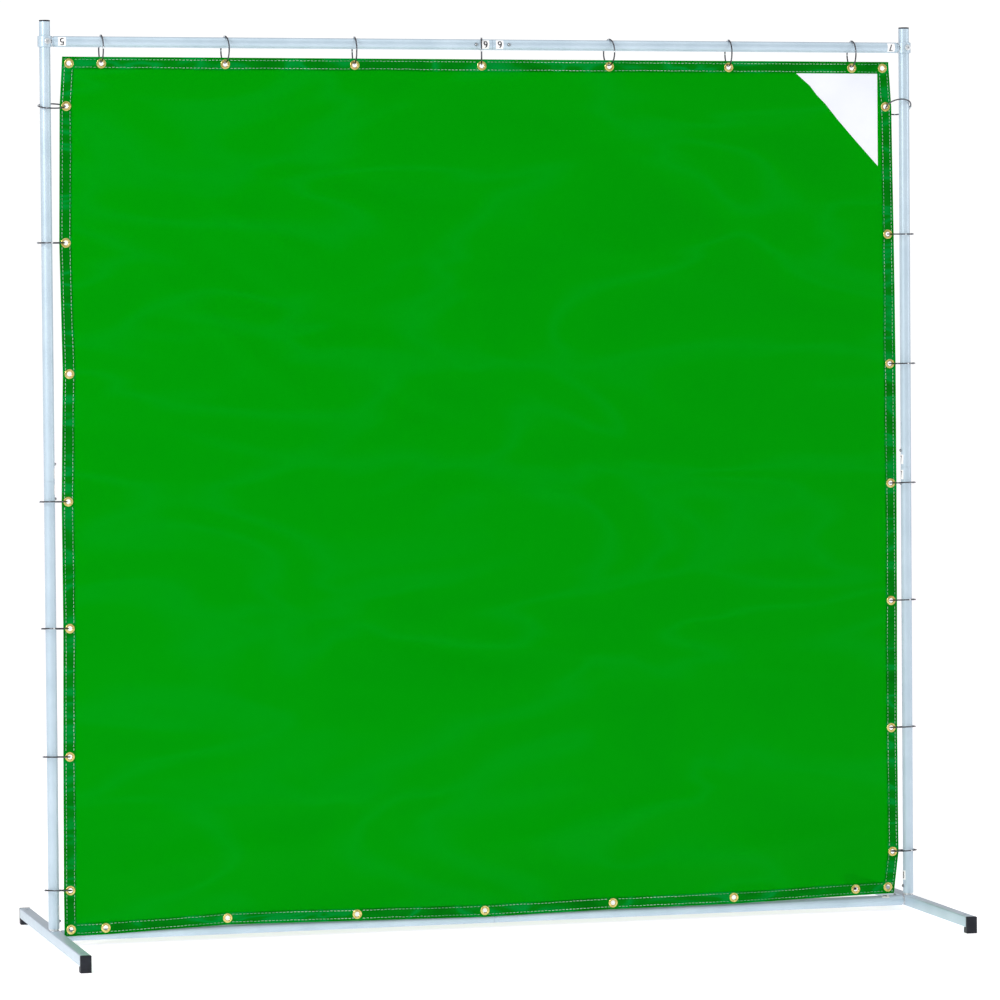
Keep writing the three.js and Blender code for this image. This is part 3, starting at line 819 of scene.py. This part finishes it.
def resampled(loop, spacing):
    out = []
    for a, b in zip(loop, np.roll(loop, -1, 0)):
        n = max(1, round(float(np.linalg.norm(b - a)) / spacing))
        out.extend(a + (b - a) * i / n for i in range(n))
    return np.array(out)


def on_sheet(points, lift):
    """Points of (x, z) put on the billowing sheet, lift in front of it."""
    depth = plane_base + plane_slope * points[:, 1] - billow(points) - lift
    return np.stack([points[:, 0], depth, points[:, 1]], 1)


def hole_rim(c):
    angles = np.linspace(0, 2 * np.pi, 32, endpoint=False)
    return c + (hole_r + HOLE_CLEAR) * np.stack([np.cos(angles), np.sin(angles)], 1)


def inner_grid(loop, spacing):
    """A staggered grid of points inside a loop, clear of its edge and of the grommet holes."""
    low, high = loop.min(0), loop.max(0)
    xs = np.arange(low[0], high[0], spacing) + spacing / 2
    zs = np.arange(low[1], high[1], spacing) + spacing / 2
    grid = np.array([(x + (0.5 * spacing if j % 2 else 0), z) for j, z in enumerate(zs) for x in xs])
    grid = grid[inside(grid, loop)]
    grid = grid[near_line(grid, [*loop, loop[0]])[0] > 0.45 * spacing]
    for c in holes:
        grid = grid[np.hypot(*(grid - c).T) > hole_r + 0.35 * spacing]
    return grid


def triangulated(loop, rims, spacing):
    """The points and triangles of the flat region inside a loop, less the holes inside the rims."""
    edges, start = [], 0
    for ring in [loop, *rims]:
        n = len(ring)
        edges += [(start + i, start + (i + 1) % n) for i in range(n)]
        start += n
    points = np.concatenate([loop, *rims, inner_grid(loop, spacing)])
    verts, _, tris, _, _, _ = delaunay_2d_cdt([Vector(p) for p in points], edges, [], 0, 1e-7)
    flat = np.array([tuple(v) for v in verts])
    tris = np.array([tuple(t) for t in tris])
    middles = flat[tris].mean(1)
    keep = inside(middles, loop)
    for rim in rims:
        keep &= np.hypot(*(middles - rim.mean(0)).T) > (hole_r + HOLE_CLEAR) * 0.98
    tris = tris[keep]
    used = np.unique(tris)
    index = -np.ones(len(flat), int)
    index[used] = np.arange(len(used))
    return flat[used], index[tris]


def sheet_shell(loop, spacing, lift, thick, with_holes=True):
    """A thin closed shell over the region inside a loop, lift in front of the sheet's plane."""
    loop = resampled(np.array(loop), spacing)
    rims = [hole_rim(c) for c in holes if with_holes and inside(np.array([c]), loop)[0]]
    flat, tris = triangulated(loop, rims, spacing)
    front = on_sheet(flat, lift)
    back = front + np.array([0, thick, 0])
    n = len(front)
    a, b, c = (front[tris[:, k]] for k in range(3))
    facing = np.cross(b - a, c - a)[:, 1] < 0
    tris = np.where(facing[:, None], tris, tris[:, ::-1])
    edges = dict.fromkeys((int(t[i]), int(t[(i + 1) % 3])) for t in tris for i in range(3))
    faces = [list(map(int, t)) for t in tris]
    faces += [[int(i) + n for i in reversed(t)] for t in tris]
    faces += [[j, i, i + n, j + n] for i, j in edges if (j, i) not in edges]
    return np.concatenate([front, back]), faces, 0


def corner(sx, sz):
    return outline[np.argmax(outline @ np.array([sx, sz]))]


def side_run(side):
    """The outline's points along one side: their x, their z, and whichever of the two runs along it."""
    a, b = {
        "top": (corner(-1, 1), corner(1, 1)),
        "bottom": (corner(-1, -1), corner(1, -1)),
        "left": (corner(-1, -1), corner(-1, 1)),
        "right": (corner(1, -1), corner(1, 1)),
    }[side]
    axis = 0 if side in ("top", "bottom") else 1
    ends, offs = [a[axis], b[axis]], [a[1 - axis], b[1 - axis]]
    near = [p for p in outline if abs(p[1 - axis] - np.interp(p[axis], ends, offs)) < NEAR_EDGE]
    near = np.array(sorted(near, key=lambda p: p[axis]))
    return near[:, 0], near[:, 1], near[:, axis]


edge_runs = {side: side_run(side) for side in ("top", "bottom", "left", "right")}
INTO_SHEET = {
    "top": np.array([0, -1.0]),
    "bottom": np.array([0, 1.0]),
    "left": np.array([1.0, 0]),
    "right": np.array([-1.0, 0]),
}
WAVE_SEEDS = {"top": 1.3, "bottom": 5.1, "left": 8.7, "right": 12.9}


def edge_at(side, s):
    """A point of the curtain's edge: s runs from left to right, or from the bottom up."""
    xs, zs, along = edge_runs[side]
    return np.array([np.interp(s, along, xs), np.interp(s, along, zs)])


def hem_line(side, inset, wave=0.0):
    """A line inset from one side of the curtain, with a slight wave."""
    along = edge_runs[side][2]
    count = int((along[-1] - along[0]) / (18 * MM)) + 2
    return np.array([
        edge_at(side, s)
        + INTO_SHEET[side] * (inset + wave * noise.noise(Vector((s * 9.0, WAVE_SEEDS[side], 0.5))))
        for s in np.linspace(along[0], along[-1], count)
    ])


curtain_body = BODY["curtain"]
sheet = sheet_shell(outline, 12 * MM, 0, THICK)
curtain = build("curtain_sheet", [sheet], [vinyl], curtain_body, 60)
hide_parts("curtain")

for level, side in enumerate(("left", "right", "top", "bottom")):
    edge, inner = hem_line(side, 0.2 * MM), hem_line(side, HEM, 1.4 * MM)
    lift = (0.45 + 0.45 * (level // 2)) * MM  # the top and bottom strips lie over the side ones
    strip = sheet_shell(np.concatenate([edge, inner[::-1]]), 9 * MM, lift, STRIP_THICK)
    build(f"curtain_{side}_hem", [strip], [hem_vinyl], curtain_body, 60)

STITCH = 4.6 * MM
STITCH_GAP = 3.0 * MM
STITCH_LIFT = 1.1 * MM
THREAD_R = 0.42 * MM
GROMMET_KEEP_OUT = 11.5 * MM  # no stitch's middle lies nearer to a grommet's


def stitch_row(run, seed):
    """Short raised stitches along a run of (x, z) points, each dipping into the sheet at its ends."""
    steps = np.r_[0, np.cumsum(np.linalg.norm(np.diff(run, axis=0), axis=1))]
    starts = np.arange(3 * MM, steps[-1] - STITCH, STITCH + STITCH_GAP)
    rng = np.random.default_rng(seed)
    verts, faces = [], []
    shares = np.array([0.0, 0.18, 0.5, 0.82, 1.0])
    heights = np.array([-0.5, 0.5, 0.9, 0.5, -0.5])
    sides = 6
    around = np.linspace(0, 2 * np.pi, sides, endpoint=False)
    for start in starts:
        jitter = rng.normal(0, 0.18, 2) * MM
        at = start + shares * STITCH
        pts = np.stack([np.interp(at, steps, run[:, 0]), np.interp(at, steps, run[:, 1])], 1)
        if np.min(np.hypot(*(holes - pts.mean(0)).T)) < GROMMET_KEEP_OUT:
            continue
        direction = (pts[-1] - pts[0]) / np.linalg.norm(pts[-1] - pts[0])
        side_way = np.array([-direction[1], direction[0]])
        base = on_sheet(pts + side_way * jitter[0], STITCH_LIFT)
        first = len(verts)
        for p, h in zip(base, heights):
            for a in around:
                offset = np.array([side_way[0], 0, side_way[1]]) * math.cos(a) * THREAD_R
                verts.append(p + offset + np.array([0, -(h + 0.8 * math.sin(a)) * THREAD_R, 0]))
        for k in range(len(shares) - 1):
            near, far = first + k * sides, first + (k + 1) * sides
            for i in range(sides):
                j = (i + 1) % sides
                faces.append([near + i, near + j, far + j, far + i])
        faces.append([first + i for i in range(sides)])
        faces.append([far + i for i in reversed(range(sides))])
    return verts, faces, 0


for number, side in enumerate(("left", "right", "top", "bottom")):
    rows = [
        stitch_row(hem_line(side, 5.5 * MM, 0.3 * MM), 10 + number),
        stitch_row(hem_line(side, HEM - 3.5 * MM, 1.2 * MM), 20 + number),
    ]
    build(f"curtain_{side}_stitches", rows, [thread], curtain_body, 80)


def on_plane(x, z):
    """The point of the curtain's flat plane at x and z."""
    return Vector((x, plane_base + plane_slope * z, z))


GROMMET_R = 9.8 * MM
normal = Vector((0, -1, plane_slope)).normalized()


def grommet_shell(x, z, spin):
    """A domed flange in front, a barrel through the hole, and a flat washer behind."""
    r, rim = hole_r, GROMMET_R
    profile = [
        (r, 0.0), (r + 0.05 * MM, 0.5 * MM), (r + 0.35 * MM, 1.05 * MM), (r + 0.9 * MM, 1.45 * MM),
        (r + 1.5 * MM, 1.55 * MM), (r + 2.1 * MM, 1.4 * MM), (r + 2.7 * MM, 1.25 * MM),
        (r + 3.4 * MM, 1.35 * MM), (rim - 0.9 * MM, 1.4 * MM), (rim - 0.3 * MM, 1.15 * MM),
        (rim, 0.65 * MM), (rim - 0.3 * MM, 0.35 * MM), (r + 0.6 * MM, 0.1 * MM),
        (r + 0.6 * MM, -1.0 * MM), (rim - 0.8 * MM, -1.0 * MM), (rim - 0.4 * MM, -1.2 * MM),
        (rim - 0.8 * MM, -1.4 * MM), (r + 1.4 * MM, -1.45 * MM), (r + 0.5 * MM, -1.2 * MM),
        (r, -0.6 * MM), (r, 0.0),
    ]
    return lathe(profile, placed(on_plane(x, z), normal), 48, spin)


grommet_shells = [grommet_shell(x, z, 0.1 * i) for i, (x, z) in enumerate(holes)]
grommets = build("curtain_grommets", grommet_shells, [brass], curtain_body, 50)

# The corner patch: a triangle inside the hem, whose long edge bows in a little.
patch_low, patch_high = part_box("corner_patch")
patch_size = patch_high - patch_low
BOWS = ((0.0, 0.0), (0.14, 0.035), (0.24, 0.02), (0.34, 0.03), (0.5, 0.012), (0.7, 0.004), (1.0, 0.0))
slack_edge = [
    (patch_high.x - patch_size.x * (1 - t) * (1 - bow), patch_high.z - patch_size.z * t * (1 - bow))
    for t, bow in BOWS
]
triangle = np.array([(patch_high.x, patch_high.z), *slack_edge])
patch_shell = sheet_shell(triangle, 8 * MM, 0.35 * MM, STRIP_THICK, with_holes=False)
patch = build("corner_patch_sheet", [patch_shell], [patch_vinyl], curtain_body, 60)
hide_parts("corner_patch")


# ---------------- rings

RING_WIRE_R = 1.5 * MM


def ring_frame(node):
    """A CAD ring's centre, its axis, and its outer radius."""
    co = np.array([v.co for v in nodes[node].data.vertices], float)
    middle = co.mean(0)
    _, _, rows = np.linalg.svd(co - middle, full_matrices=False)
    return Vector(middle), Vector(rows[2]).normalized(), np.linalg.norm(co - middle, axis=1).max()


def band(inner, outer, low, high, edge):
    """A profile from one radius to another and from one height to another, in mm, with soft edges."""
    corners = ((inner, low), (outer, low), (outer, high), (inner, high))
    return rounded([(r * MM, h * MM) for r, h in corners], edge * MM)


def ring(node):
    """A wire ring, with a knuckle on the side away from its grommet and a catch a quarter turn on."""
    at, axis, reach = ring_frame(node)
    nearest = holes[np.argmin(np.hypot(holes[:, 0] - at.x, holes[:, 1] - at.z))]
    outward = across(at - on_plane(*nearest), axis).normalized()
    where = placed(at, axis, outward)
    radius = reach - RING_WIRE_R
    turns = [2 * math.pi * k / 14 for k in range(14)]
    sections = []
    for i in range(120):
        a = 2 * math.pi * i / 120
        spoke = Vector((math.cos(a), math.sin(a), 0))
        sections.append([
            where @ (spoke * (radius + RING_WIRE_R * math.cos(t)) + Z * (RING_WIRE_R * math.sin(t)))
            for t in turns
        ])
    knuckle_at, catch_at = where @ Vector((radius, 0, 0)), where @ Vector((0, radius, 0))
    tangent = axis.cross(outward)
    sleeve = band(1.3, 1.9, 1.4, 3.6, 0.3)
    shells = [
        loft(sections),
        lathe(band(0, 2.2, -2.3, 2.3, 0.6), placed(knuckle_at, axis), 28, look=1),
        lathe(sleeve, placed(knuckle_at, -tangent), 24, look=1),
        lathe(sleeve, placed(knuckle_at, tangent), 24, look=1),
        lathe(band(1.3, 1.8, -1.6, 1.6, 0.3), placed(catch_at, outward), 24, look=1),
    ]
    made = build(node + "_wire", shells, [ring_steel, zinc], BODY[node], 40)
    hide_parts(node)
    return made


ring_pieces = {node: ring(node) for node in nodes if "_ring_" in node}
flat_wide = max(np.ptp(edge_runs["top"][0]), np.ptp(edge_runs["bottom"][0]))
flat_tall = max(np.ptp(edge_runs["left"][1]), np.ptp(edge_runs["right"][1]))


# ---------------- number labels

# The stroke of each digit, in a space 1 wide and 1.5 high.
DIGITS = {
    "1": [(0.25, 1.2), (0.5, 1.5), (0.5, 0.0)],
    "2": [
        (0.1, 1.2), (0.25, 1.45), (0.5, 1.5), (0.78, 1.4), (0.88, 1.15), (0.8, 0.85), (0.1, 0.0),
        (0.9, 0.0),
    ],
    "3": [
        (0.12, 1.3), (0.45, 1.5), (0.8, 1.35), (0.8, 1.0), (0.45, 0.8), (0.85, 0.6), (0.85, 0.2),
        (0.5, 0.0), (0.1, 0.2),
    ],
    "4": [(0.7, 0.0), (0.7, 1.5), (0.05, 0.45), (0.95, 0.45)],
    "5": [
        (0.85, 1.5), (0.2, 1.5), (0.15, 0.85), (0.5, 0.95), (0.85, 0.75), (0.88, 0.3), (0.5, 0.0),
        (0.1, 0.15),
    ],
    "7": [(0.1, 1.5), (0.9, 1.5), (0.4, 0.0)],
    "8": [
        (0.5, 0.8), (0.2, 1.0), (0.2, 1.35), (0.5, 1.5), (0.8, 1.35), (0.8, 1.0), (0.5, 0.8),
        (0.12, 0.55), (0.12, 0.2), (0.5, 0.0), (0.88, 0.2), (0.88, 0.55), (0.5, 0.8),
    ],
    "9": [
        (0.85, 0.9), (0.6, 0.65), (0.3, 0.7), (0.12, 1.0), (0.2, 1.35), (0.5, 1.5), (0.8, 1.4),
        (0.88, 1.0), (0.8, 0.4), (0.5, 0.0),
    ],
}
LABEL = (16 * MM, 20 * MM)
DIGIT_SCALE = 8.6 * MM
PEN = 1.3 * MM  # half the width of a stroke


def wrapped(base, along, out, up, radius):
    """A map from flat label coordinates (right, up) to the round face of a tube."""
    right = up.cross(out)

    def put(c, u, lift):
        r = radius + lift
        if abs(along.dot(up)) > 0.5:
            return base + up * u + out * (r * math.cos(c / radius)) + right * (r * math.sin(c / radius))
        return base + right * c + out * (r * math.cos(u / radius)) + up * (r * math.sin(u / radius))

    return put


def sticker(put):
    """The label's own sheet, a closed shell of squares."""
    n = 12
    verts = [
        put((i / n - 0.5) * LABEL[0], (k / n - 0.5) * LABEL[1], lift)
        for lift in (0.18 * MM, 0.02 * MM) for i in range(n + 1) for k in range(n + 1)
    ]
    m = (n + 1) ** 2
    faces = []
    for i in range(n):
        for k in range(n):
            a, b = i * (n + 1) + k, (i + 1) * (n + 1) + k
            faces.append([a, b, b + 1, a + 1])
            faces.append([m + a, m + a + 1, m + b + 1, m + b])
    rim = [i * (n + 1) for i in range(n + 1)] + [n * (n + 1) + k for k in range(1, n + 1)]
    rim += [i * (n + 1) + n for i in range(n - 1, -1, -1)] + list(range(n - 1, 0, -1))
    faces += [[a, m + a, m + b, b] for a, b in zip(rim, rim[1:] + rim[:1])]
    return verts, faces, 0


def inked(put, stroke):
    """A digit's stroke, as a thin closed ribbon on the sticker."""
    pts = [np.array([(x - 0.5) * DIGIT_SCALE, (y - 0.75) * DIGIT_SCALE]) for x, y in stroke]
    fine = [a + (b - a) * i / 6 for a, b in zip(pts, pts[1:]) for i in range(6)] + [pts[-1]]
    ink = []
    for before, p, after in zip([fine[0], *fine], fine, [*fine[1:], fine[-1]]):
        d = (after - before) / np.linalg.norm(after - before)
        w = np.array([-d[1], d[0]]) * PEN
        for q, lift in ((p + w, 0.24 * MM), (p - w, 0.24 * MM), (p - w, 0.1 * MM), (p + w, 0.1 * MM)):
            ink.append(put(q[0], q[1], lift))
    faces = [
        [i * 4 + k, (i + 1) * 4 + k, (i + 1) * 4 + (k + 1) % 4, i * 4 + (k + 1) % 4]
        for i in range(len(fine) - 1) for k in range(4)
    ]
    faces += [[0, 1, 2, 3], [4 * len(fine) - 1 - k for k in range(4)]]
    return ink, faces, 1


def label(name, digit, tube, along, at, out, up):
    """A sticker with one digit, at a height or a distance along a tube."""
    middle = centre(tube)
    base = middle + along * (at - middle.dot(along))
    put = wrapped(base, along, out, up, size(tube).dot(Y) / 2)
    shells = [sticker(put), inked(put, DIGITS[digit])]
    build(name, shells, [label_white, label_ink], BODY[tube], 60)


top_l, top_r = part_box("top_bar_left"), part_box("top_bar_right")
bot_l, bot_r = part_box("bottom_bar_left"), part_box("bottom_bar_right")
front = -Y
label("label_top_left_end", "5", "top_bar_left", X, top_l[0].x + 16 * MM, front, -Z)
label("label_top_middle_left", "9", "top_bar_left", X, top_l[1].x - 15 * MM, front, Z)
label("label_top_middle_right", "9", "top_bar_right", X, top_r[0].x + 15 * MM, front, Z)
label("label_top_right_end", "7", "top_bar_right", X, top_r[1].x - 14 * MM, front, -Z)
label("label_bottom_left_end", "2", "bottom_bar_left", X, bot_l[0].x + 38 * MM, Z, Y)
label("label_bottom_middle_left", "8", "bottom_bar_left", X, bot_l[1].x - 15 * MM, Z, Y)
label("label_bottom_middle_right", "8", "bottom_bar_right", X, bot_r[0].x + 15 * MM, Z, Y)
label("label_bottom_right_end", "4", "bottom_bar_right", X, bot_r[1].x - 38 * MM, Z, Y)
for side, inward in SIDES.items():
    lower, upper = side + "_lower_upright", side + "_upper_upright"
    foot_digit, joint_digit = ("1", "5") if side == "left" else ("3", "7")
    label(f"label_{side}_foot", foot_digit, lower, Z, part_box(lower)[0].z + 38 * MM, inward, Z)
    label(f"label_{side}_joint_below", joint_digit, lower, Z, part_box(lower)[1].z - 16 * MM, inward, Z)
    label(f"label_{side}_joint_above", joint_digit, upper, Z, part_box(upper)[0].z + 16 * MM, inward, Z)


# ---------------- carried-over CAD pieces

for name, part in nodes.items():
    if part.hide_render:
        continue
    part.data.materials.clear()
    part.data.materials.append(zinc)
    part.data.set_sharp_from_angle(angle=math.radians(30))


# ---------------- studio

FLOOR_REACH = 40.0
floor_mesh = bpy.data.meshes.new("studio_floor")
square = ((-1, -1), (1, -1), (1, 1), (-1, 1))
floor_mesh.from_pydata([(FLOOR_REACH * a, FLOOR_REACH * b, 0) for a, b in square], [], [(0, 1, 2, 3)])
floor = bpy.data.objects.new("studio_floor", floor_mesh)
scene.collection.objects.link(floor)
floor_mesh.materials.append(floor_look())
floor.location.z = cad_low.z - 0.2 * MM


def studio_world():
    """Soft light, cooler in front and pinker behind, with a white ground behind everything."""
    world = bpy.data.worlds.new("studio")
    scene.world = world
    world.use_nodes = True
    tree = world.node_tree
    tree.nodes.clear()
    new, link = tree.nodes.new, tree.links.new
    way = new("ShaderNodeTexCoord")
    split = new("ShaderNodeSeparateXYZ")
    link(way.outputs["Generated"], split.inputs["Vector"])
    shade = new("ShaderNodeValToRGB")
    shade.color_ramp.elements[0].position = 0.0
    shade.color_ramp.elements[0].color = (0.98, 0.99, 1.0, 1)
    shade.color_ramp.elements[1].position = 1.0
    shade.color_ramp.elements[1].color = (0.82, 0.73, 0.78, 1)
    half_way = new("ShaderNodeMapRange")
    half_way.inputs["From Min"].default_value = -0.3
    half_way.inputs["From Max"].default_value = 0.9
    link(split.outputs["Y"], half_way.inputs["Value"])
    link(half_way.outputs["Result"], shade.inputs["Fac"])
    lit = new("ShaderNodeBackground")
    lit.inputs["Strength"].default_value = 0.66
    link(shade.outputs["Color"], lit.inputs["Color"])
    seen = new("ShaderNodeBackground")
    seen.inputs["Color"].default_value = (1, 1, 1, 1)
    seen.inputs["Strength"].default_value = 1.05
    rays = new("ShaderNodeLightPath")
    pick = new("ShaderNodeMixShader")
    link(rays.outputs["Is Camera Ray"], pick.inputs["Fac"])
    link(lit.outputs["Background"], pick.inputs[1])
    link(seen.outputs["Background"], pick.inputs[2])
    end = new("ShaderNodeOutputWorld")
    link(pick.outputs["Shader"], end.inputs["Surface"])


def softbox(name, at, aim, dims, power, color=(1, 1, 1)):
    """A rectangular area light that the camera doesn't see."""
    data = bpy.data.lights.new(name, "AREA")
    data.shape = "RECTANGLE"
    data.size, data.size_y = dims
    data.energy = power
    data.color = color
    lamp = bpy.data.objects.new(name, data)
    lamp.location = at
    lamp.rotation_euler = (Vector(aim) - Vector(at)).to_track_quat("-Z", "Y").to_euler()
    scene.collection.objects.link(lamp)
    lamp.visible_camera = False


studio_world()
softbox("key", (-4.2, -2.9, 3.4), (0, 0, 0.9), (1.0, 2.4), 150)
softbox("fill", (4.4, -1.8, 2.2), (0, 0, 0.8), (1.2, 3.0), 35, (0.97, 0.98, 1.0))
softbox("over", (0, -0.6, 5.0), (0, 0, 0), (4.5, 3.0), 35)

CAMERA_AT = (-2.411027, -9.179257, 1.279257)
LENS = 165.478
YAW, PITCH, ROLL = math.radians(14.8465), math.radians(-1.6114), math.radians(-0.4506)


def studio_camera():
    """The camera, at the photograph's angle."""
    data = bpy.data.cameras.new("camera")
    data.sensor_width = 36
    data.lens = LENS
    data.shift_x = 0.0017
    data.shift_y = -0.06
    data.clip_end = 200
    camera = bpy.data.objects.new("camera", data)
    scene.collection.objects.link(camera)
    ahead = Vector((math.sin(YAW) * math.cos(PITCH), math.cos(YAW) * math.cos(PITCH), math.sin(PITCH)))
    right = ahead.cross(Z).normalized()
    up = right.cross(ahead)
    rolled_right = right * math.cos(ROLL) + up * math.sin(ROLL)
    rolled_up = up * math.cos(ROLL) - right * math.sin(ROLL)
    facing = Matrix((rolled_right, rolled_up, -ahead)).transposed().to_4x4()
    camera.matrix_world = Matrix.Translation(CAMERA_AT) @ facing
    scene.camera = camera


studio_camera()
scene.view_settings.view_transform = "Standard"
